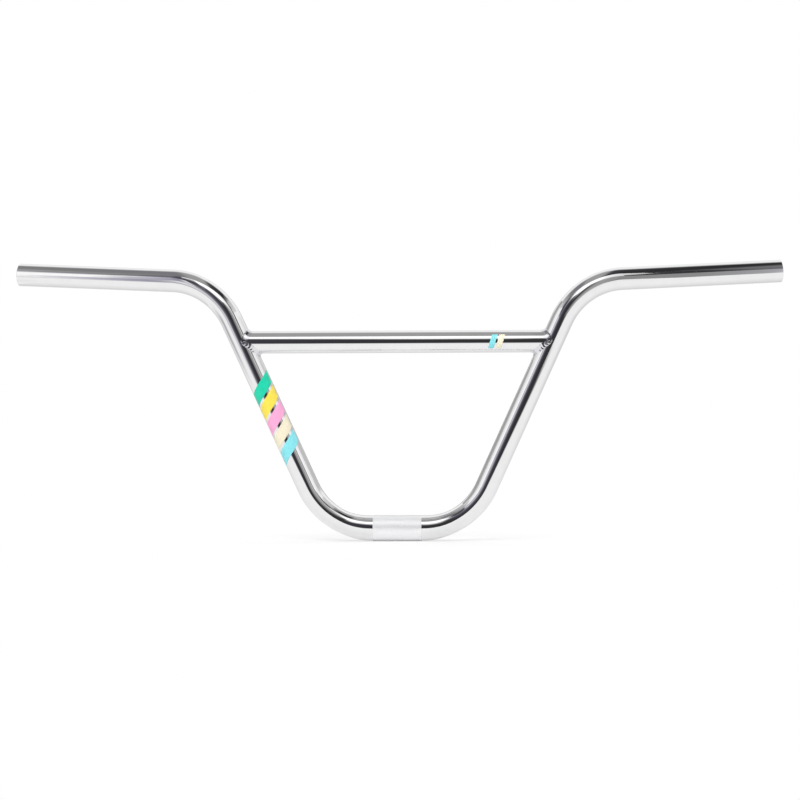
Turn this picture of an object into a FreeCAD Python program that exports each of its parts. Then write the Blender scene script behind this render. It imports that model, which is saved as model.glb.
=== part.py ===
import FreeCAD, Part
import math
import os
from FreeCAD import Vector

# Welded steel handlebar of a stunt bicycle, in millimetres: one long bent tube, a crossbar between
# its legs, and a weld bead round each end of the crossbar.
# The origin is the middle of the clamp section. +X is the rider's left, -Y is forward and +Z is up.

# Main tube
overall_width = 762.0  # between the outermost edges of the two cut ends
rise = 252.0  # from the clamp's axis up to the middle of each cut end
clamp_diameter = 25.4  # over the knurl
clamp_length = 50.0  # straight stretch between the lower bends
clamp_wall = 1.6
knurl_length = 48.0  # raised band that the stem closes on
knurl_height = 0.2  # that the band stands above the tube beside it
tube_diameter = 22.2  # legs and grips
tube_wall = 1.25
taper_length = 35.0  # along the bend, from the clamp's size down to the leg's
leg_angle = 65.5  # degrees above the clamp's axis
lower_bend_radius = 69.0  # of the tube's middle line
upper_bend_radius = 69.0
upsweep = 2.6  # degrees that each grip rises outwards
backsweep = 12.0  # degrees that each grip turns towards the rider
end_chamfer = 0.3  # on both rims of each cut end

# Crossbar
crossbar_undersize = 0.2  # thinner than the legs, so that its coped rim lands on their round
crossbar_wall = 0.9
crossbar_drop = 22.4  # along the leg, from the upper bend down to the crossbar's axis

# Weld beads
weld_reach = 3.0  # from the joint line to the bead's toe on each tube
weld_crown = 0.8  # height of the bead where the two tubes lie flush
weld_pitch = 4.0  # from one puddle of the bead to the next

clamp_radius = clamp_diameter / 2
shoulder_radius = clamp_radius - knurl_height
clamp_bore = clamp_radius - clamp_wall
tube_radius = tube_diameter / 2
tube_bore = tube_radius - tube_wall
crossbar_radius = (tube_diameter - crossbar_undersize) / 2
crossbar_bore = crossbar_radius - crossbar_wall

ORIGIN = Vector(0, 0, 0)
ACROSS = Vector(1, 0, 0)
UP = Vector(0, 0, 1)

# Directions of the left leg and the left grip
slope = math.radians(leg_angle)
rising = math.radians(upsweep)
turning = math.radians(backsweep)
leg = Vector(math.cos(slope), 0, math.sin(slope))
grip = Vector(math.cos(turning), math.sin(turning), math.tan(rising)).normalize()

# Corners of the left half's middle line. The leg and the grip are as long as they must be for the
# grip's end to come out at the rise, and for its rim to reach half the overall width.
clamp_end = Vector(clamp_length / 2, 0, 0)
lower_setback = lower_bend_radius * math.tan(slope / 2)
lower_corner = clamp_end + ACROSS * lower_setback
rim_overhang = tube_radius * math.sqrt(1 - grip.x ** 2)
run = overall_width / 2 - rim_overhang - lower_corner.x
spread = grip.x * leg.z - leg.x * grip.z
leg_reach = (rise * grip.x - run * grip.z) / spread
grip_reach = (run * leg.z - rise * leg.x) / spread
upper_corner = lower_corner + leg * leg_reach
upper_turn = leg.getAngle(grip)
upper_setback = upper_bend_radius * math.tan(upper_turn / 2)

leg_start = lower_corner + leg * lower_setback
leg_end = upper_corner - leg * upper_setback
grip_start = upper_corner + grip * upper_setback
grip_end = upper_corner + grip * grip_reach
crossbar_end = leg_end - leg * crossbar_drop  # where the crossbar's axis crosses the leg's
crossbar_middle = UP * crossbar_end.z


def mirrored(shape):
    """The same shape on the rider's right."""
    return shape.mirror(ORIGIN, ACROSS)


def rod(radius, start, end):
    """Solid round bar between two points."""
    return Part.makeCylinder(radius, (end - start).Length, start, end - start)


def pipe(radius, bore, start, end):
    """Straight length of tube between two points."""
    return rod(radius, start, end).cut(rod(bore, start, end))


def ring(radius, centre, along):
    """Circle across the tube, as a wire."""
    return Part.Wire(Part.Circle(centre, along, radius).toShape())


def bent_pipe(start, along, hub, axis, turn):
    """Bend of the tube at its constant section, turned about a hub from a start point."""
    wall = Part.Face(ring(tube_radius, start, along)).cut(Part.Face(ring(tube_bore, start, along)))
    return wall.revolve(hub, axis, math.degrees(turn))


def lower_bend():
    """Bend from the clamp up to the leg, drawn down from the clamp's size in its first stretch."""
    hub = clamp_end + UP * lower_bend_radius
    taper_turn = taper_length / lower_bend_radius

    def on_bend(turn):
        return hub + Vector(math.sin(turn), 0, -math.cos(turn)) * lower_bend_radius

    taper_end = on_bend(taper_turn)
    taper_along = Vector(math.cos(taper_turn), 0, math.sin(taper_turn))
    spine = Part.Wire(Part.Arc(clamp_end, on_bend(taper_turn / 2), taper_end).toShape())

    def drawn_down(first_radius, last_radius):
        sweep = Part.BRepOffsetAPI.MakePipeShell(spine)
        sweep.add(ring(first_radius, clamp_end, ACROSS))
        sweep.add(ring(last_radius, taper_end, taper_along))
        sweep.build()
        sweep.makeSolid()
        return sweep.shape()

    taper = drawn_down(shoulder_radius, tube_radius).cut(drawn_down(clamp_bore, tube_bore))
    return [taper, bent_pipe(taper_end, taper_along, hub, ACROSS.cross(UP), slope - taper_turn)]


def upper_bend():
    """Bend from the leg out to the grip, in the plane that holds both."""
    axis = leg.cross(grip).normalize()
    hub = leg_end + axis.cross(leg) * upper_bend_radius
    return bent_pipe(leg_end, leg, hub, axis, upper_turn)


def grip_stretch():
    """Straight grip, cut square, with both rims of the cut end eased."""
    length = (grip_end - grip_start).Length
    section = [
        (tube_bore, 0),
        (tube_radius, 0),
        (tube_radius, length - end_chamfer),
        (tube_radius - end_chamfer, length),
        (tube_bore + end_chamfer, length),
        (tube_bore, length - end_chamfer),
    ]
    outward = grip.cross(UP).normalize()
    corners = [grip_start + outward * radius + grip * along for radius, along in section]
    outline = Part.Face(Part.makePolygon(corners + corners[:1]))
    return outline.revolve(grip_start, grip, 360)


def handlebar_tube():
    """The whole bent tube, hollow from end to end."""
    knurl_end = ACROSS * (knurl_length / 2)
    clamp = pipe(shoulder_radius, clamp_bore, -clamp_end, clamp_end)
    knurl = pipe(clamp_radius, clamp_bore, -knurl_end, knurl_end)
    straight_leg = pipe(tube_radius, tube_bore, leg_start, leg_end)
    half = lower_bend() + [straight_leg, upper_bend(), grip_stretch()]
    return clamp.multiFuse([knurl] + half + [mirrored(stretch) for stretch in half])


def crossbar():
    """Straight tube between the legs, each end coped to the leg's round."""
    half = pipe(crossbar_radius, crossbar_bore, crossbar_middle, crossbar_end)
    half = half.cut(rod(tube_radius, leg_start, leg_end))
    return half.fuse(mirrored(half)).removeSplitter()


def joint_line():
    """Closed saddle where the crossbar's surface meets the left leg's, taken round the crossbar."""
    steps = 180
    points = []
    for step in range(steps):
        turn = 2 * math.pi * step / steps
        y = crossbar_radius * math.cos(turn)
        z = crossbar_radius * math.sin(turn)
        inset = (math.sqrt(tube_radius ** 2 - y ** 2) - z * leg.x) / leg.z
        points.append(crossbar_end + Vector(-inset, y, z))
    return Part.makePolygon(points + points[:1])


def away_from_axis(point, along):
    """Unit vector to a point of the joint line, square out from a tube's axis."""
    out = point - crossbar_end
    return (out - along * out.dot(along)).normalize()


def left_weld():
    """Bead of overlapping puddles on the joint line, each a cap that reaches as far up both tubes."""
    line = joint_line()
    puddle_radius = (weld_reach ** 2 + weld_crown ** 2) / (2 * weld_crown)
    count = round(line.Length / weld_pitch)
    puddles = []
    for point in line.discretize(Number=count + 1)[:-1]:
        leg_out = away_from_axis(point, leg)
        crossbar_out = away_from_axis(point, ACROSS)
        outward = (leg_out + crossbar_out).normalize()
        # half of the angle between the two surfaces, and where that puts the bead's toes
        lean = (math.pi - leg_out.getAngle(crossbar_out)) / 2
        toe_height = weld_reach * math.cos(lean)
        toe_offset = weld_reach * math.sin(lean)
        sink = math.sqrt(puddle_radius ** 2 - toe_offset ** 2) - toe_height
        along = leg_out.cross(crossbar_out)
        puddles.append(Part.makeSphere(puddle_radius, point - outward * sink, along))
    bead = puddles[0].multiFuse(puddles[1:])
    leg_rod = rod(tube_radius, leg_start, leg_end)
    return bead.cut([leg_rod, rod(crossbar_radius, crossbar_middle, crossbar_end)])


weld = left_weld()
nodes = {
    "handlebar_tube": handlebar_tube(),
    "crossbar": crossbar(),
    "crossbar_welds": Part.makeCompound([weld, mirrored(weld)]),
}
os.makedirs("parts", exist_ok=True)
for node, shape in nodes.items():
    shape.exportStep("parts/" + node + ".step")
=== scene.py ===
import math
import bpy
import numpy as np
from mathutils import Matrix, Vector


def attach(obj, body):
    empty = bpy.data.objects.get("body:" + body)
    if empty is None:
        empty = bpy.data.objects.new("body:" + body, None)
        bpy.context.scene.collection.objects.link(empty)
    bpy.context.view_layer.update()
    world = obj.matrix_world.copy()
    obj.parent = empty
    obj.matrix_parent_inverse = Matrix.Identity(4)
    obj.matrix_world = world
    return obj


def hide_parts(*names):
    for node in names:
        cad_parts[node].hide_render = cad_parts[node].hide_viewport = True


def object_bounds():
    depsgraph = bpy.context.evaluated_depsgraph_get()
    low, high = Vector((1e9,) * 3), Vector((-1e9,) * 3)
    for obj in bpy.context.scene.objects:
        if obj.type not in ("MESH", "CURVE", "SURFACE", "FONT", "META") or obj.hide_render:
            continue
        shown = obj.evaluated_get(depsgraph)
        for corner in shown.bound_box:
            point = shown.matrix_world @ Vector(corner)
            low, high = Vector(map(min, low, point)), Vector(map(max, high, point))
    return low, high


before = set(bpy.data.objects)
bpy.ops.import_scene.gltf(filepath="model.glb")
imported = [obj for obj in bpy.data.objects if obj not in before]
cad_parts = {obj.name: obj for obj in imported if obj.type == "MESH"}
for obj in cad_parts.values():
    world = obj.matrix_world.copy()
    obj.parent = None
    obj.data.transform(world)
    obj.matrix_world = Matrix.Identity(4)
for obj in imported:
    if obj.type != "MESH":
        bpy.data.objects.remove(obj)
cad_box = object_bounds()

# The main tube: one length of round steel tube, drawn down on both sides of the clamp, bent four times and
# cut square at its ends. It is polished, then plated with nickel and chrome, so it mirrors the room in long
# stripes. Sizes are in millimetres, x is the rider's left, -y is forward and z is up.
mm = 0.001  # in Blender's metres
rise = 252.0  # from the clamp's axis up to the middle of each cut end
overall_width = 762.0
half_clamp = 25.0
shoulder_radius = 12.5  # of the clamp section, beside the knurl
clamp_bore = 11.1
tube_radius = 11.1
tube_bore = 9.85
taper_length = 35.0
leg_angle = math.radians(65.5)
lower_bend_radius = 69.0
upper_bend_radius = 69.0
upsweep = math.radians(2.6)
backsweep = math.radians(12.0)
rim_chamfer = 0.3
crease = math.radians(32)  # a fold sharper than this is shaded as an edge
wiped_patch = 9.0
polish_wave = 28.0
polish_height = 0.06
tube_steps = 96  # round the tube
grip_rings = 24

across = np.array([1.0, 0.0, 0.0])
upward = np.array([0.0, 0.0, 1.0])
leg = np.array([math.cos(leg_angle), 0.0, math.sin(leg_angle)])
grip = np.array([
    math.cos(upsweep) * math.cos(backsweep), math.cos(upsweep) * math.sin(backsweep), math.sin(upsweep),
])
bend_axis = np.cross(leg, grip) / np.linalg.norm(np.cross(leg, grip))
outward_of_leg = np.cross(bend_axis, leg)
upper_turn = math.acos(leg @ grip)

# The leg and the grip are as long as they must be for the cut ends to come out at the rise and the width.
lower_setback = lower_bend_radius * math.tan(leg_angle / 2)
upper_setback = upper_bend_radius * math.tan(upper_turn / 2)
lower_corner = half_clamp + lower_setback
run = overall_width / 2 - tube_radius * math.sqrt(1 - grip[0] ** 2) - lower_corner
spread = grip[0] * leg[2] - leg[0] * grip[2]
leg_length = (rise * grip[0] - run * grip[2]) / spread - lower_setback - upper_setback
grip_length = (run * leg[2] - rise * leg[0]) / spread - upper_setback
leg_from = half_clamp + lower_bend_radius * leg_angle
leg_to = leg_from + leg_length
grip_from = leg_to + upper_bend_radius * upper_turn
grip_to = grip_from + grip_length


def middle_line(along):
    """Points and headings of the tube's middle line at signed distances from the clamp's middle. Each point
    is the sum of a straight, an arc, a straight, an arc and a straight, every one clipped to its own
    stretch, and the negative side is the mirror image."""
    gone = np.abs(along)
    side = np.where(along < 0, -1.0, 1.0)
    lower = np.clip((gone - half_clamp) / lower_bend_radius, 0, leg_angle)
    upper = np.clip((gone - leg_to) / upper_bend_radius, 0, upper_turn)
    on_leg = np.clip(gone - leg_from, 0, leg_length)
    point = (
        np.outer(np.minimum(gone, half_clamp) + lower_bend_radius * np.sin(lower), across)
        + np.outer(lower_bend_radius * (1 - np.cos(lower)), upward)
        + np.outer(on_leg + upper_bend_radius * np.sin(upper), leg)
        + np.outer(upper_bend_radius * (1 - np.cos(upper)), outward_of_leg)
        + np.outer(np.maximum(gone - grip_from, 0), grip)
    )
    low_heading = np.outer(np.cos(lower), across) + np.outer(np.sin(lower), upward)
    high_heading = np.outer(np.cos(upper), leg) + np.outer(np.sin(upper), outward_of_leg)
    heading = np.where(upper[:, None] > 0, high_heading, low_heading)
    point[:, 0] *= side
    heading[:, 1:] *= side[:, None]
    return point, heading


def full_turn(steps):
    """Angles once round a circle, in equal steps."""
    return np.linspace(0, 2 * math.pi, steps, endpoint=False)


def rings(point, heading, radius, turns):
    """Circles square to a line: point + radius * (back * cos turn + over * sin turn), where back is the part
    of +y that is square to the heading, and over is the heading crossed with back. The radius is one number
    for each ring, or one for each point."""
    back = np.array([0.0, 1.0, 0.0]) - heading * heading[:, 1:2]
    back /= np.linalg.norm(back, axis=1, keepdims=True)
    over = np.cross(heading, back)
    reach = radius[..., None] if radius.ndim == 2 else radius[:, None, None]
    spokes = back[:, None] * np.cos(turns)[:, None] + over[:, None] * np.sin(turns)[:, None]
    return point[:, None] + reach * spokes


def skin(name, grids, wrapped=True):
    """Mesh object from grids of points in millimetres, with a quad between each four neighbours. A wrapped
    grid is joined up in both directions, as a ring's skin is. A grid whose volume, measured from its middle,
    is negative has its quads turned round, so that faces look outwards."""
    points, quads, first = [], [], 0
    for grid in grids:
        rows, columns = grid.shape[:2]
        number = np.arange(rows * columns).reshape(rows, columns)
        if wrapped:
            number = np.pad(number, ((0, 1), (0, 1)), mode="wrap")
        corners = [number[:-1, :-1], number[1:, :-1], number[1:, 1:], number[:-1, 1:]]
        quad = np.stack(corners, -1).reshape(-1, 4)
        flat = grid.reshape(-1, 3)
        start, second, third, fourth = (flat[quad] - flat.mean(0)).swapaxes(0, 1)
        volume = np.einsum("ij,ij->", start, np.cross(second - start, third - start))
        volume += np.einsum("ij,ij->", start, np.cross(third - start, fourth - start))
        quads.append((quad[:, ::-1] if volume < 0 else quad) + first)
        points.append(flat)
        first += len(flat)
    points, quads = np.concatenate(points), np.concatenate(quads)
    mesh = bpy.data.meshes.new(name)
    mesh.from_pydata(points * mm, [], quads)
    mesh.polygons.foreach_set("use_smooth", np.ones(len(quads), bool))
    mesh.set_sharp_from_angle(angle=crease)
    mesh.validate()
    piece = bpy.data.objects.new(name, mesh)
    bpy.context.scene.collection.objects.link(piece)
    return piece


def linear(colour):
    """A #RRGGBB colour as linear red, green and blue with alpha 1: c / 12.92 in the darkest part, else
    ((c + 0.055) / 1.055) ** 2.4."""
    parts = np.array([int(colour[place:place + 2], 16) for place in (1, 3, 5)]) / 255
    parts = np.where(parts <= 0.04045, parts / 12.92, ((parts + 0.055) / 1.055) ** 2.4)
    return (*parts.tolist(), 1.0)


def add(tree, kind, settings, inputs):
    """Adds a node to a tree: settings are its own options, and each input is a plain value or the output
    socket that is linked to it."""
    made = tree.nodes.new(kind)
    for option, value in settings.items():
        setattr(made, option, value)
    for socket, value in inputs.items():
        if isinstance(value, bpy.types.NodeSocket):
            tree.links.new(value, made.inputs[socket])
        else:
            made.inputs[socket].default_value = value
    return made


def new_material(name):
    """A material with an empty node tree, and that tree."""
    material = bpy.data.materials.new(name)
    material.use_nodes = True
    material.node_tree.nodes.clear()
    return material, material.node_tree


def per_mm(size):
    """Scale of a pattern on Object coordinates, which are in metres, for features of about this many
    millimetres."""
    return 1000.0 / size


# Chrome plate: a bright mirror over polished steel. Wiping leaves faint patches that are a little duller,
# and the polishing wheel leaves slow waves that bend the mirrored lines.
chrome, tree = new_material("chrome_plate_on_steel")
place = add(tree, "ShaderNodeTexCoord", {}, {}).outputs["Object"]
wiped = add(tree, "ShaderNodeTexNoise", {}, {
    "Vector": place, "Scale": per_mm(wiped_patch), "Detail": 4.0,
}).outputs["Fac"]
waves = add(tree, "ShaderNodeTexNoise", {}, {
    "Vector": place, "Scale": per_mm(polish_wave), "Detail": 1.0,
}).outputs["Fac"]
dullness = add(tree, "ShaderNodeMapRange", {}, {
    "Value": wiped, "From Min": 0.3, "From Max": 0.75, "To Min": 0.025, "To Max": 0.075,
}).outputs["Result"]
tint = add(tree, "ShaderNodeValToRGB", {}, {"Fac": wiped})
for end, position, colour in zip(tint.color_ramp.elements, (0.3, 0.75), ("#EEEEEF", "#EAEAEB")):
    end.position = position
    end.color = linear(colour)
polish = add(tree, "ShaderNodeBump", {}, {
    "Height": waves, "Strength": 1.0, "Distance": polish_height * mm,
}).outputs["Normal"]
shine = add(tree, "ShaderNodeBsdfPrincipled", {}, {
    "Base Color": tint.outputs["Color"], "Metallic": 1.0, "Roughness": dullness, "Normal": polish,
}).outputs["BSDF"]
add(tree, "ShaderNodeOutputMaterial", {}, {"Surface": shine})

# Each stretch has its start, its end and its number of rings, which lie closest in the bends. The skin runs
# along the outside, over one cut end, back along the bore and over the other end.
stretches = (
    (0, half_clamp, 5), (half_clamp, leg_from, 55), (leg_from, leg_to, 25), (leg_to, grip_from, 55),
)
half_stations = np.concatenate([
    *(np.linspace(start, end, count, endpoint=False) for start, end, count in stretches),
    np.linspace(grip_from, grip_to - rim_chamfer, grip_rings),
])
stations = np.concatenate([-half_stations[:0:-1], half_stations])
drawn = np.clip((np.abs(stations) - half_clamp) / taper_length, 0, 1)
drawn = drawn * drawn * (3 - 2 * drawn)
outside = shoulder_radius + (tube_radius - shoulder_radius) * drawn
inside = clamp_bore + (tube_bore - clamp_bore) * drawn
outer_rim = tube_radius - rim_chamfer
inner_rim = tube_bore + rim_chamfer
ring_along = np.concatenate([[-grip_to], stations, [grip_to, grip_to], stations[::-1], [-grip_to]])
ring_radius = np.concatenate([[outer_rim], outside, [outer_rim, inner_rim], inside[::-1], [inner_rim]])
main_tube = skin("main_tube", [rings(*middle_line(ring_along), ring_radius, full_turn(tube_steps))])
main_tube.data.materials.append(chrome)
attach(main_tube, "root")
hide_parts("handlebar_tube")

# The clamp band: a diamond knurl rolled into the middle of the tube, so that the stem's clamp can't slip.
# Its crests stand a little above the tube, and it is bead blasted before it is plated, which leaves it pale
# and dull. The real knurl is finer than a pixel, so it is drawn with diamonds of 2 mm.
band_half = 24.0
band_edge = 0.7  # over which the relief falls away at each end
band_sink = 0.05  # of the ends below the tube's surface
band_root = 0.4  # of the hidden inside below the tube's surface
root_inset = 1.0  # of the hidden inside from the ends
edge_step = 0.1  # between the outermost two rings at each end
knurl_height = 0.2
groove_share = 0.3  # of the height that is left in the grooves
crest_flat = 1.35  # above 1, the diamonds' tips are flat
diamonds_round = 40
diamond_length = 2.0
grain_size = 0.8
grain_depth = 0.05
band_rings = 209
band_steps = 320
band_inner = np.linspace(-band_half + edge_step, band_half - edge_step, band_rings)
band_x = np.concatenate([[-band_half], band_inner, [band_half]])
band_turn = full_turn(band_steps)


def ridge(phase):
    """Triangle wave from 0 in the groove to 1 on the crest."""
    return 1 - np.abs(2 * np.mod(phase, 1.0) - 1)


turned = diamonds_round * band_turn[None] / (2 * math.pi)
slid = band_x[:, None] / diamond_length
relief = np.minimum(np.minimum(ridge(turned + slid), ridge(turned - slid)) * crest_flat, 1.0)
fade = np.clip((band_half - np.abs(band_x)) / band_edge, 0, 1)[:, None]
proud = band_sink + knurl_height * (groove_share + (1 - groove_share) * relief)
crests = shoulder_radius - band_sink + proud * np.sqrt(fade)
under = np.full((2, len(band_turn)), shoulder_radius - band_root)
band_line = np.concatenate([band_x, [band_half - root_inset, -band_half + root_inset]])
band_radius = np.concatenate([crests, under])
clamp_band = skin("clamp_band", [rings(*middle_line(band_line), band_radius, band_turn)])

# Satin chrome: the same plate over a blasted surface. It scatters what it mirrors into one pale sheen, so
# it is only part metal, and the dark specular tint darkens it where it is seen at a slant.
satin, tree = new_material("satin_chrome_on_knurled_steel")
place = add(tree, "ShaderNodeTexCoord", {}, {}).outputs["Object"]
blast = add(tree, "ShaderNodeTexNoise", {}, {
    "Vector": place, "Scale": per_mm(grain_size), "Detail": 3.0,
}).outputs["Fac"]
dullness = add(tree, "ShaderNodeMapRange", {}, {
    "Value": blast, "From Min": 0.3, "From Max": 0.7, "To Min": 0.3, "To Max": 0.42,
}).outputs["Result"]
tint = add(tree, "ShaderNodeValToRGB", {}, {"Fac": blast})
for end, position, colour in zip(tint.color_ramp.elements, (0.3, 0.7), ("#EFEFF1", "#FBFBFC")):
    end.position = position
    end.color = linear(colour)
grit = add(tree, "ShaderNodeBump", {}, {
    "Height": blast, "Strength": 0.5, "Distance": grain_depth * mm,
}).outputs["Normal"]
sheen = add(tree, "ShaderNodeBsdfPrincipled", {}, {
    "Base Color": tint.outputs["Color"], "Metallic": 0.56, "Roughness": dullness, "Normal": grit,
    "Specular Tint": linear("#303034"),
}).outputs["BSDF"]
add(tree, "ShaderNodeOutputMaterial", {}, {"Surface": sheen})
clamp_band.data.materials.append(satin)
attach(clamp_band, "root")
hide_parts("handlebar_tube")

# The crossbar: a thinner-walled steel tube between the legs. Both ends are coped, cut hollow to sit on the
# legs' round, before it is welded in, and it is polished and plated together with the main tube.
crossbar_radius = 11.0
crossbar_bore = 10.1
crossbar_drop = 22.4  # along the leg, from the upper bend down to the crossbar's axis
crossbar_height = (leg_length - crossbar_drop) * leg[2] + lower_bend_radius * (1 - math.cos(leg_angle))
joint_x = lower_corner + leg[0] * (lower_setback + leg_length - crossbar_drop)


def coped_end(radius, turn):
    """How far out the crossbar reaches at a point round it: the leg's axis there, less the leg's round seen
    along the crossbar."""
    y, z = radius * np.cos(turn), radius * np.sin(turn)
    return joint_x - (np.sqrt(tube_radius ** 2 - y ** 2) - z * leg[0]) / leg[2]


bar_rings = 41
bar_steps = 112
bar_turn = full_turn(bar_steps)
bar_share = np.concatenate([np.linspace(-1, 1, bar_rings), np.linspace(1, -1, bar_rings)])[:, None]
bar_radius = np.repeat([crossbar_radius, crossbar_bore], bar_rings)[:, None]
bar_grid = np.stack(np.broadcast_arrays(
    bar_share * coped_end(bar_radius, bar_turn),
    bar_radius * np.cos(bar_turn),
    crossbar_height + bar_radius * np.sin(bar_turn),
), -1)
crossbar = skin("crossbar_tube", [bar_grid])
crossbar.data.materials.append(chrome)
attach(crossbar, "root")
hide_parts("crossbar")

# The welds: a fillet bead laid by hand all round each end of the crossbar, a puddle at a time. It is dressed
# smooth on top and underneath, and low on the front and the back the puddles still show as overlapping
# crescents. It is plated with the tubes.
weld_reach = 4.2  # from the joint line to the toe on the crossbar, and on the leg above and below
front_reach = 1.6  # to the toe on the leg at the front and the back
fillet_crown = 0.12  # height of the dressed bead over its hollow curve
weld_crown = 0.4  # added where the puddles show
crown_place = -0.45  # where they show most, as a share of the crossbar's radius above its axis
crown_spread = 0.45
puddle_pitch = 3.0
puddle_depth = 0.3
puddle_bow = 0.55  # of a pitch that each crescent's middle runs ahead
puddle_lean = 1.4  # above 1, each crescent is steeper on one side
puddle_drift = 0.06  # of a pitch that crescents stray
drift_rate = 2.4  # radians to a puddle
toe_step = 0.06  # share of its reach that a toe moves with each puddle
toe_wander = 0.05  # and over many puddles
wander_rate = 0.31  # radians to a puddle
toe_root = 0.5  # of the hidden inside below each toe
line_root = 0.6  # and below the joint line
scale_size = 0.9
scale_depth = 0.03
bead_steps = 440  # round the crossbar
section_points = 23
bead_turn = full_turn(bead_steps)
bead_share = np.linspace(0, 1, section_points)


def unit(vectors):
    """Vectors made one long."""
    return vectors / np.linalg.norm(vectors, axis=-1, keepdims=True)


def onto_round(points, start, along, radius):
    """Points moved straight in or out to a tube's surface."""
    reach = points - start
    reach = reach - (reach @ along)[..., None] * along
    return points - reach + unit(reach) * radius


def bead(side):
    """Ring of weld round one end of the crossbar. Its section is a curve from a toe on the leg, drawn in
    towards the line where the two tubes meet, to a toe on the crossbar: (1 - t)^2 * leg toe + 2 t (1 - t) *
    line + t^2 * bar toe. A smooth arch lifts it, and low on the front and the back a crown of crescents is
    added."""
    joint = np.array([joint_x, 0.0, crossbar_height])
    line = np.stack([
        coped_end(crossbar_radius, bead_turn),
        crossbar_radius * np.cos(bead_turn),
        crossbar_height + crossbar_radius * np.sin(bead_turn),
    ], -1)
    forward = unit(np.roll(line, -1, 0) - np.roll(line, 1, 0))
    out_leg = unit((line - joint) - ((line - joint) @ leg)[:, None] * leg)
    out_bar = unit((line - joint) * np.array([0.0, 1.0, 1.0]))
    middle = unit(out_leg + out_bar)
    gone = np.cumsum(np.linalg.norm(line - np.roll(line, 1, 0), axis=1))
    beat = gone / gone[-1] * round(gone[-1] / puddle_pitch)
    height = np.sin(bead_turn)[:, None]
    crowned = np.exp(-((height - crown_place) / crown_spread) ** 2)
    stray = toe_step * np.cos(2 * math.pi * beat) + toe_wander * np.sin(wander_rate * beat + side)
    wander = 1 + stray[:, None] * crowned
    leg_reach = (front_reach + (weld_reach - front_reach) * height ** 2) * wander
    bar_reach = weld_reach * wander
    on_leg = onto_round(line + leg_reach * np.cross(out_leg, forward), joint, leg, tube_radius)
    on_bar = onto_round(line - bar_reach * np.cross(out_bar, forward), joint, across, crossbar_radius)
    arch = 4 * bead_share * (1 - bead_share)
    drift = puddle_drift * np.sin(beat * drift_rate)[:, None]
    crescent = np.mod(beat[:, None] - puddle_bow * arch + drift, 1.0)
    ripple = -0.5 * np.cos(2 * math.pi * crescent ** puddle_lean)
    lift = (fillet_crown + weld_crown * crowned) * arch + puddle_depth * crowned * ripple * np.sqrt(arch)
    t = bead_share[:, None]
    top = on_leg[:, None] * (1 - t) ** 2 + line[:, None] * 2 * t * (1 - t) + on_bar[:, None] * t ** 2
    top = top + middle[:, None] * lift[..., None]
    roots = [on_bar - out_bar * toe_root, line - middle * line_root, on_leg - out_leg * toe_root]
    return np.concatenate([top, np.stack(roots, 1)], 1) * np.array([side, 1.0, 1.0])


weld_beads = skin("weld_beads", [bead(1.0), bead(-1.0)])

# Plated weld: chrome over a bead that is brushed but not polished, so it mirrors more softly than the
# tubes, and fine scale and pits from the welding break up its shine.
plated_weld, tree = new_material("chrome_plate_on_weld")
place = add(tree, "ShaderNodeTexCoord", {}, {}).outputs["Object"]
scale_marks = add(tree, "ShaderNodeTexNoise", {}, {
    "Vector": place, "Scale": per_mm(scale_size), "Detail": 3.0,
}).outputs["Fac"]
dullness = add(tree, "ShaderNodeMapRange", {}, {
    "Value": scale_marks, "From Min": 0.3, "From Max": 0.7, "To Min": 0.1, "To Max": 0.2,
}).outputs["Result"]
tint = add(tree, "ShaderNodeValToRGB", {}, {"Fac": scale_marks})
for end, position, colour in zip(tint.color_ramp.elements, (0.3, 0.75), ("#E6E6EA", "#D8D8DC")):
    end.position = position
    end.color = linear(colour)
pits = add(tree, "ShaderNodeBump", {}, {
    "Height": scale_marks, "Strength": 0.3, "Distance": scale_depth * mm,
}).outputs["Normal"]
soft_shine = add(tree, "ShaderNodeBsdfPrincipled", {}, {
    "Base Color": tint.outputs["Color"], "Metallic": 1.0, "Roughness": dullness, "Normal": pits,
}).outputs["BSDF"]
add(tree, "ShaderNodeOutputMaterial", {}, {"Surface": soft_shine})
weld_beads.data.materials.append(plated_weld)
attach(weld_beads, "root")
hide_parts("crossbar_welds")

# The decals: thin printed vinyl, cut out and stuck on over the plate. Five plain slanted bands of colour
# stand on the front of one leg, and two small ones on the crossbar. The bare chrome shows between them.
film_proud = 0.06  # of its face above the plate, and its back lies just below, so that no gap shows
film_thickness = 0.1
leg_bands = ["#06CFA8", "#F7DF4E", "#F7A8D3", "#EFE6CB", "#86E0E8"]  # from the top down
leg_film_from = 37.0  # along the straight of the leg
leg_film_to = 114.0
leg_band_gap = 2.8
leg_film_slant = 9.0
leg_film_turn = math.radians(72)
bar_bands = ["#84DEE4", "#EFE8CF"]
bar_film_x = 98.5
bar_band = 5.6
bar_band_gap = 1.8
bar_film_slant = 2.0
bar_film_turn = math.radians(38)
peel_size = 1.6
peel_depth = 0.03
film_rows = 13
film_columns = 33


def wrapped_film(from_along, to_along, slant, half_turn, start, along, radius):
    """Slanted patch on a tube's front: start + along * (u's place between the ends + slant * v) + radius *
    (forward * cos (v * half_turn) + up-and-sideways * sin (v * half_turn)), for u from 0 to 1 and v from -1
    to 1."""
    u = np.linspace(0, 1, film_rows)[:, None]
    v = np.linspace(-1, 1, film_columns)[None]
    place = from_along + (to_along - from_along) * u + slant * v
    forward = np.array([0.0, -1.0, 0.0])
    sideways = np.cross(along, forward)
    sideways = sideways if sideways[2] > 0 else -sideways
    turn = v[..., None] * half_turn
    return start + place[..., None] * along + radius * (np.cos(turn) * forward + np.sin(turn) * sideways)


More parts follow.
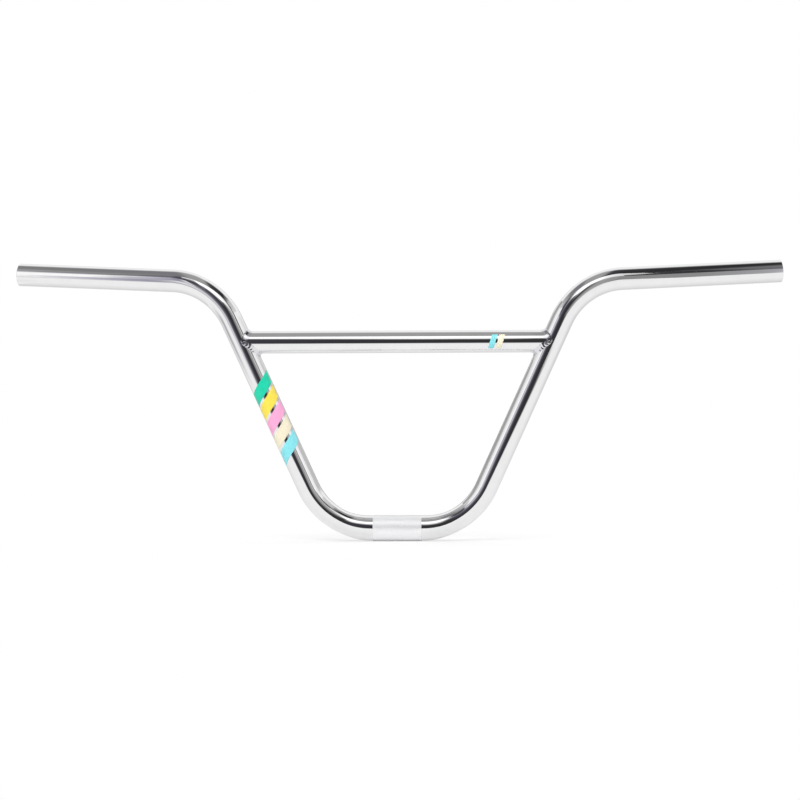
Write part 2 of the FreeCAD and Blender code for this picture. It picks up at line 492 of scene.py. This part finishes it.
def print_colours(film, colours):
    """Gives each patch of a film its colour, as a colour for every point."""
    each = len(film.data.vertices) // len(colours)
    values = np.repeat([linear(colour) for colour in colours], each, axis=0)
    film.data.attributes.new("print", "FLOAT_COLOR", "POINT").data.foreach_set("color", values.ravel())


right_leg = leg * np.array([-1.0, 1.0, 1.0])
right_leg_start = np.array([-lower_corner, 0.0, 0.0]) + right_leg * lower_setback
band_step = (leg_film_to - leg_film_from + leg_band_gap) / len(leg_bands)
leg_film = skin("leg_decal", [
    wrapped_film(
        band_top - (band_step - leg_band_gap), band_top, leg_film_slant, leg_film_turn,
        right_leg_start, right_leg, tube_radius + film_proud,
    )
    for band_top in leg_film_to - band_step * np.arange(len(leg_bands))
], wrapped=False)
print_colours(leg_film, leg_bands)
crossbar_middle = np.array([0.0, 0.0, crossbar_height])
bar_film = skin("crossbar_decal", [
    wrapped_film(
        bar_film_x + aside - bar_band / 2, bar_film_x + aside + bar_band / 2, bar_film_slant, bar_film_turn,
        crossbar_middle, across, crossbar_radius + film_proud,
    )
    for aside in (-(bar_band + bar_band_gap) / 2, (bar_band + bar_band_gap) / 2)
], wrapped=False)
print_colours(bar_film, bar_bands)

# Printed vinyl: a soft gloss over flat ink, with a faint orange peel and specks where the ink is thin.
vinyl, tree = new_material("printed_vinyl_film")
place = add(tree, "ShaderNodeTexCoord", {}, {}).outputs["Object"]
ink = add(tree, "ShaderNodeAttribute", {"attribute_name": "print"}, {}).outputs["Color"]
peel = add(tree, "ShaderNodeTexNoise", {}, {
    "Vector": place, "Scale": per_mm(peel_size), "Detail": 2.0,
}).outputs["Fac"]
thin = add(tree, "ShaderNodeMapRange", {}, {
    "Value": peel, "From Min": 0.35, "From Max": 0.7, "To Min": 0.93, "To Max": 1.06,
}).outputs["Result"]
shade = add(tree, "ShaderNodeHueSaturation", {}, {"Color": ink, "Value": thin}).outputs["Color"]
gloss = add(tree, "ShaderNodeMapRange", {}, {
    "Value": peel, "From Min": 0.3, "From Max": 0.7, "To Min": 0.28, "To Max": 0.4,
}).outputs["Result"]
dimples = add(tree, "ShaderNodeBump", {}, {
    "Height": peel, "Strength": 0.3, "Distance": peel_depth * mm,
}).outputs["Normal"]
film_look = add(tree, "ShaderNodeBsdfPrincipled", {}, {
    "Base Color": shade, "Roughness": gloss, "IOR": 1.46, "Normal": dimples,
}).outputs["BSDF"]
add(tree, "ShaderNodeOutputMaterial", {}, {"Surface": film_look})
for film in (leg_film, bar_film):
    backing = film.modifiers.new("film_thickness", "SOLIDIFY")
    backing.thickness = film_thickness * mm
    backing.offset = -1.0
    film.visible_glossy = False  # the chrome beside it mirrors no coloured streaks
    film.data.materials.append(vinyl)
    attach(film, "root")

# The table: a plain sheet of white paper that the bar stands on, on the bottom of its clamp. Near the clamp
# it is part matt, so the bar's soft shadow shows there, and further off it is plain white. For the chrome it
# carries a painted shade, a little darker towards the back. Its sizes are in metres.
floor_z = float(cad_box[0][2])
half_table = 6.0
table_mesh = bpy.data.meshes.new("table")
table_corners = np.array([(-1, -1, 0), (1, -1, 0), (1, 1, 0), (-1, 1, 0)]) * half_table + upward * floor_z
table_mesh.from_pydata(table_corners, [], [(0, 1, 2, 3)])
table = bpy.data.objects.new("table", table_mesh)
bpy.context.scene.collection.objects.link(table)
paper, tree = new_material("white_paper_sheet")


def seen_directly(tree):
    """1 for a ray from the camera or off metal or glass, and 0 for the light that falls on things."""
    ray = add(tree, "ShaderNodeLightPath", {}, {}).outputs
    two = add(tree, "ShaderNodeMath", {"operation": "ADD"}, {
        0: ray["Is Camera Ray"], 1: ray["Is Glossy Ray"],
    }).outputs["Value"]
    return add(tree, "ShaderNodeMath", {"operation": "ADD", "use_clamp": True}, {
        0: two, 1: ray["Is Transmission Ray"],
    }).outputs["Value"]


place = add(tree, "ShaderNodeTexCoord", {}, {}).outputs["Object"]
back = add(tree, "ShaderNodeSeparateXYZ", {}, {"Vector": place}).outputs["Y"]
# Painted shade: glossy rays see the sheet darker behind the bar, from full white 5 cm in front to 0.75 at 30
# cm behind.
painted_back_shade = add(tree, "ShaderNodeMapRange", {}, {
    "Value": back, "From Min": -0.05, "From Max": 0.3, "To Min": 1.0, "To Max": 0.75,
}).outputs["Result"]
straight = add(tree, "ShaderNodeLightPath", {}, {}).outputs["Is Camera Ray"]
bright = add(tree, "ShaderNodeMath", {"operation": "MAXIMUM"}, {0: straight, 1: painted_back_shade}).outputs["Value"]
glow = add(tree, "ShaderNodeEmission", {}, {
    "Color": linear("#FFFFFF"), "Strength": bright,
}).outputs["Emission"]
matt = add(tree, "ShaderNodeBsdfDiffuse", {}, {"Color": linear("#F4F4F4")}).outputs["BSDF"]
shadow_shape = (1.6, 1.0, 1.0)  # the matt patch is narrower along x than along y
narrowed = add(tree, "ShaderNodeVectorMath", {"operation": "MULTIPLY"}, {
    0: place, 1: shadow_shape,
}).outputs["Vector"]
away = add(tree, "ShaderNodeVectorMath", {"operation": "LENGTH"}, {0: narrowed}).outputs["Value"]
white_share = add(tree, "ShaderNodeMapRange", {"interpolation_type": "SMOOTHSTEP"}, {
    "Value": away, "From Min": 0.03, "From Max": 0.3, "To Min": 0.45, "To Max": 1.0,
}).outputs["Result"]
share = add(tree, "ShaderNodeMath", {"operation": "MULTIPLY"}, {
    0: seen_directly(tree), 1: white_share,
}).outputs["Value"]
sheet = add(tree, "ShaderNodeMixShader", {}, {0: share, 1: matt, 2: glow}).outputs["Shader"]
add(tree, "ShaderNodeOutputMaterial", {}, {"Surface": sheet})
table.data.materials.append(paper)

# The studio: a white room, with one soft lamp above the front and one above the back. Glowing painted cards
# that only glossy things see stand for the rest of the room, so the chrome shows them as painted
# reflections:
# a dark front with bright strips, grey flags and a glowing soft box before it, the ceiling, two patches on
# the table, and walls at the sides and behind.
world = bpy.data.worlds.new("white_studio")
bpy.context.scene.world = world
world.use_nodes = True
world.node_tree.nodes.clear()
tree = world.node_tree
light_strength = 0.55  # of the air that lights things
white_strength = 1.0  # of the air that is seen
light_air, white_air = (
    add(tree, "ShaderNodeBackground", {}, {
        "Color": linear("#FFFFFF"), "Strength": strength,
    }).outputs["Background"]
    for strength in (light_strength, white_strength)
)
air = add(tree, "ShaderNodeMixShader", {}, {
    0: seen_directly(tree), 1: light_air, 2: white_air,
}).outputs["Shader"]
add(tree, "ShaderNodeOutputWorld", {}, {"Surface": air})
# The cards' glow is painted light: each shows its painted shade to glossy rays only, as a painted
# reflection.
card_paint, tree = new_material("studio_card")
shade = add(tree, "ShaderNodeAttribute", {"attribute_name": "shade"}, {}).outputs["Color"]
lit = add(tree, "ShaderNodeEmission", {}, {"Color": shade, "Strength": 1.0}).outputs["Emission"]
add(tree, "ShaderNodeOutputMaterial", {}, {"Surface": lit})
card_rows = 81
card_columns = 33


def card(name, axis, stops, low, high, strength=1.0, melt=(0.0, 0.0), crest=((0.0, 1.0),)):
    """Flat card that runs along x or y through its stops, each a place in millimetres with a colour. Its
    other two coordinates go straight from low to high, as far as the crest's share at that place. The stops'
    colour melts into white by a smooth step over the given shares of its width at the low and the high edge,
    and strength multiplies the whole."""
    along = np.linspace(stops[0][0], stops[-1][0], card_rows)[:, None]
    share = np.linspace(0, 1, card_columns)[None]
    reach = share * np.interp(along, *zip(*crest))
    aside, height = (low[side] + (high[side] - low[side]) * reach for side in (0, 1))
    ordered = (along, aside, height) if axis == "x" else (aside, along, height)
    board = skin(name, [np.stack(np.broadcast_arrays(*ordered), -1)], wrapped=False)
    places, colours = zip(*((place, linear(colour)) for place, colour in stops))
    shade = np.stack([np.interp(along, places, channel) for channel in zip(*colours)], -1)
    from_low = share / melt[0] if melt[0] else np.ones_like(share)
    from_high = (1 - share) / melt[1] if melt[1] else np.ones_like(share)
    away = np.minimum(from_low, from_high).clip(0, 1)
    away = (away * away * (3 - 2 * away))[..., None]
    shade = (shade * away + (1 - away)) * strength
    board.data.attributes.new("shade", "FLOAT_COLOR", "POINT").data.foreach_set("color", shade.ravel())
    board.data.materials.append(card_paint)
    board.visible_camera = False
    board.visible_diffuse = False
    board.visible_transmission = False
    board.visible_shadow = False


# Where the cards stand. A small gap keeps most of them off the cards that they overlap, and off the table.
floor = floor_z / mm
card_z = floor + 1
ceiling_z = 1400.0
far_y = -1500.0
low_y = far_y + 10
front_y = -760.0
strip_y = front_y - 15
glow_y = front_y - 20
side_x = 1300.0
back_y = 1400.0
back_band_y = back_y - 20
card("dark_front", "x", [
    (-1050, "#D0D0D4"), (-850, "#A09EA8"), (-700, "#7C7A84"), (-600, "#68666F"), (-450, "#4E4C56"),
    (-320, "#424148"), (-150, "#38373C"), (0, "#353536"), (160, "#353536"), (272, "#565656"),
    (417, "#8C8C8C"), (520, "#A4A4A4"), (589, "#AAAAAA"), (681, "#9C9C9C"), (801, "#A0A0A0"),
    (900, "#C0C0C0"), (1100, "#E0E0E0"),
], (far_y, floor), (far_y, ceiling_z), melt=(0.0, 0.5), crest=(
    (-1050, 0.95), (-850, 1.15), (-600, 1.25), (-300, 1.25), (-150, 1.05), (-60, 0.92), (60, 0.92),
    (150, 1.15), (250, 1.25),
))
card("low_front", "x", [
    (100, "#353536"), (361, "#363637"), (480, "#585858"), (592, "#7C7C7C"), (650, "#B0B0B0"),
    (712, "#D2D2D2"), (900, "#D2D2D2"),
], (low_y, floor), (low_y, ceiling_z), crest=(
    (100, 0.2), (361, 0.12), (592, 0.06), (640, 0.06), (712, 0.14), (900, 0.14),
))
card("left_front", "x", [
    (-860, "#F4F4F6"), (-807, "#D4D4DC"), (-760, "#BCBAC8"), (-700, "#A3A1AF"), (-670, "#BEBEC6"),
    (-635, "#EEEEF0"), (-590, "#E6E6E8"), (-540, "#C4C4CA"), (-480, "#A0A0AA"),
], (front_y, floor), (front_y, 330))
card("left_strip", "x", [
    (-775, "#FFFFFF"), (-740, "#D0D0D8"), (-690, "#B4B2C0"), (-640, "#A2A0AE"), (-590, "#9C9AA8"),
    (-540, "#D8D8DE"), (-510, "#FFFFFF"),
], (strip_y, 330), (strip_y, 900))
card("left_glow", "x", [
    (-1300, "#FFFFFF"), (-785, "#FFFFFF"),
], (glow_y, 300), (glow_y, 800), strength=1.12)
card("right_wall", "x", [
    (520, "#8E8E8E"), (600, "#949494"), (660, "#949494"), (745, "#A8A8AA"), (775, "#B2B2B8"),
    (830, "#FFFFFF"),
], (front_y, 630), (front_y, floor), crest=((520, 0.72), (600, 0.85), (660, 1.0)))
card("right_glow", "x", [
    (880, "#FFFFFF"), (1300, "#FFFFFF"),
], (front_y, 300), (front_y, 1150), strength=1.12)
card("soft_box", "x", [
    (-330, "#FFFFFF"), (250, "#FFFFFF"), (330, "#E4E4E4"), (450, "#DCDCDC"), (600, "#C8C8C8"),
    (640, "#C8C8C8"), (670, "#707070"),
], (glow_y, ceiling_z), (glow_y, 670), strength=1.35, crest=(
    (-330, 0.75), (-100, 0.92), (0, 1.0), (92, 1.0), (160, 0.88),
))
card("left_flag", "x", [
    (-1040, "#B0B0B0"), (-933, "#8F8F92"), (-852, "#96969A"), (-792, "#707076"), (-732, "#74747C"),
    (-640, "#5C5C64"), (-540, "#505058"),
], (front_y, ceiling_z), (front_y, 500), crest=(
    (-1040, 0.3), (-933, 0.42), (-852, 0.48), (-792, 0.52), (-732, 0.6), (-640, 0.72), (-540, 0.83),
))
card("near_flag", "x", [
    (-540, "#505058"), (-480, "#48484E"), (-390, "#48484E"), (-320, "#707074"), (-290, "#A0A0A0"),
], (front_y, ceiling_z), (front_y, 500), melt=(0.7, 0.0), crest=(
    (-540, 0.83), (-520, 0.85), (-440, 1.0), (-340, 1.02), (-290, 0.9),
))
card("right_flag", "x", [
    (565, "#585858"), (590, "#39393B"), (620, "#39393B"), (705, "#38383A"), (770, "#6E6E72"),
    (1000, "#8A8A8A"),
], (front_y, 630), (front_y, ceiling_z), crest=((565, 0.22), (632, 0.36), (650, 1.0)))
card("ceiling", "x", [
    (-1600, "#D8D8D8"), (-1100, "#B0B0B0"), (-960, "#A2A2A2"), (-830, "#8A8A8A"), (-750, "#858585"),
    (-500, "#7E7E84"), (-370, "#888888"), (-300, "#A4A4A4"), (100, "#A8A7A6"), (230, "#4A4A4C"),
    (310, "#3E3E42"), (480, "#38383A"), (560, "#2E2E30"), (700, "#343436"), (790, "#686868"),
    (880, "#8A8A8A"), (1000, "#CCCCCC"), (1600, "#E0E0E0"),
], (front_y, ceiling_z), (820, ceiling_z), melt=(0.0, 0.38), crest=(
    (60, 1.0), (130, 0.9), (800, 0.9), (900, 1.0),
))
card("left_ceiling", "x", [
    (-1500, "#F0F0F0"), (-1250, "#C8C8CA"), (-1100, "#A4A4A6"), (-950, "#88888C"), (-750, "#68686E"),
    (-600, "#5C5C64"),
], (front_y, ceiling_z), (-1700, ceiling_z))
card("right_ceiling", "x", [
    (600, "#2E2E30"), (720, "#3C3C3E"), (790, "#6A6A6C"), (1050, "#707070"), (1200, "#8A8A8A"),
    (1500, "#E0E0E0"),
], (front_y, ceiling_z), (-1700, ceiling_z))
card("table_edge", "x", [
    (-1000, "#E0E0E4"), (-600, "#78767F"), (-450, "#56545E"), (-250, "#3E3D42"), (380, "#38383A"),
    (450, "#747474"), (520, "#CCCCCC"), (580, "#FFFFFF"),
], (-450, card_z), (far_y, card_z), melt=(0.5, 0.0))
card("table_left", "y", [
    (-170, "#FFFFFF"), (-90, "#D8D8DC"), (-20, "#B4B4BA"), (70, "#B4B4BA"), (290, "#FFFFFF"),
], (-470, card_z), (-950, card_z), melt=(0.4, 0.2))
card("left_side", "y", [
    (-250, "#F0F0F0"), (200, "#B8B8B6"), (700, "#A6A6A6"), (1400, "#A6A6A6"),
], (-side_x, 150), (-side_x, ceiling_z), melt=(0.05, 0.0))
card("right_side", "y", [
    (-250, "#F4F4F4"), (200, "#D4D4D4"), (700, "#C6C6C6"), (1400, "#C6C6C6"),
], (side_x, 150), (side_x, 1050), melt=(0.08, 0.3))
card("back_wall", "x", [
    (-1300, "#A2A2A2"), (-500, "#B0B0B0"), (0, "#C4C4C4"), (500, "#C6C6C6"), (1300, "#C6C6C6"),
], (back_y, 60), (back_y, 850), melt=(0.1, 0.4))
card("back_band", "x", [
    (-900, "#C0C0C0"), (-600, "#77777B"), (0, "#606064"), (600, "#77777B"), (900, "#C0C0C0"),
], (back_band_y, 60), (back_band_y, 420), melt=(0.25, 0.45))

# Each lamp has its place and its size in metres and its power in watts. The chrome doesn't mirror them.
lit_point = Vector((0.0, 0.0, 0.1))
lamps = (("key_light", (-0.4, -1.2, 1.4), 1.2, 22.0), ("fill_light", (0.9, 0.9, 1.6), 1.4, 10.0))
for name, at, size, power in lamps:
    lamp = bpy.data.lights.new(name, "AREA")
    lamp.size = size
    lamp.energy = power
    holder = bpy.data.objects.new(name, lamp)
    bpy.context.scene.collection.objects.link(holder)
    holder.location = at
    holder.rotation_euler = (lit_point - Vector(at)).to_track_quat("-Z", "Y").to_euler()
    holder.visible_glossy = False
    holder.visible_camera = False

# The camera: a long lens 4 m in front of the bar, a little to the rider's left and just above its middle.
# Its aim, turn, lift and roll are those at which the bar lies in the frame as in the photograph. Lengths are
# in metres, and the focal length is in pixels of the square picture.
camera_turn = math.radians(2.85)
camera_lift = math.radians(0.815)
camera_roll = math.radians(-0.244)
camera_distance = 4.0
aim_height = 0.1265
aim_right = 0.00291
aim_down = 0.00026
focal_pixels = 4062.7
picture_pixels = 800
towards_camera = Vector((
    math.sin(camera_turn) * math.cos(camera_lift),
    -math.cos(camera_turn) * math.cos(camera_lift),
    math.sin(camera_lift),
))
level_right = Vector((math.cos(camera_turn), math.sin(camera_turn), 0.0))
level_up = towards_camera.cross(level_right)
camera_right = level_right * math.cos(camera_roll) + level_up * math.sin(camera_roll)
camera_up = level_up * math.cos(camera_roll) - level_right * math.sin(camera_roll)
aim = Vector((0.0, 0.0, aim_height)) + camera_right * aim_right - camera_up * aim_down
spot = aim + towards_camera * camera_distance
lens = bpy.data.cameras.new("camera")
lens.sensor_width = 36.0
lens.lens = focal_pixels * lens.sensor_width / picture_pixels
camera = bpy.data.objects.new("camera", lens)
bpy.context.scene.collection.objects.link(camera)
camera.matrix_world = Matrix((
    (camera_right.x, camera_up.x, towards_camera.x, spot.x),
    (camera_right.y, camera_up.y, towards_camera.y, spot.y),
    (camera_right.z, camera_up.z, towards_camera.z, spot.z),
    (0.0, 0.0, 0.0, 1.0),
))
bpy.context.scene.camera = camera
bpy.context.scene.view_settings.view_transform = "Standard"
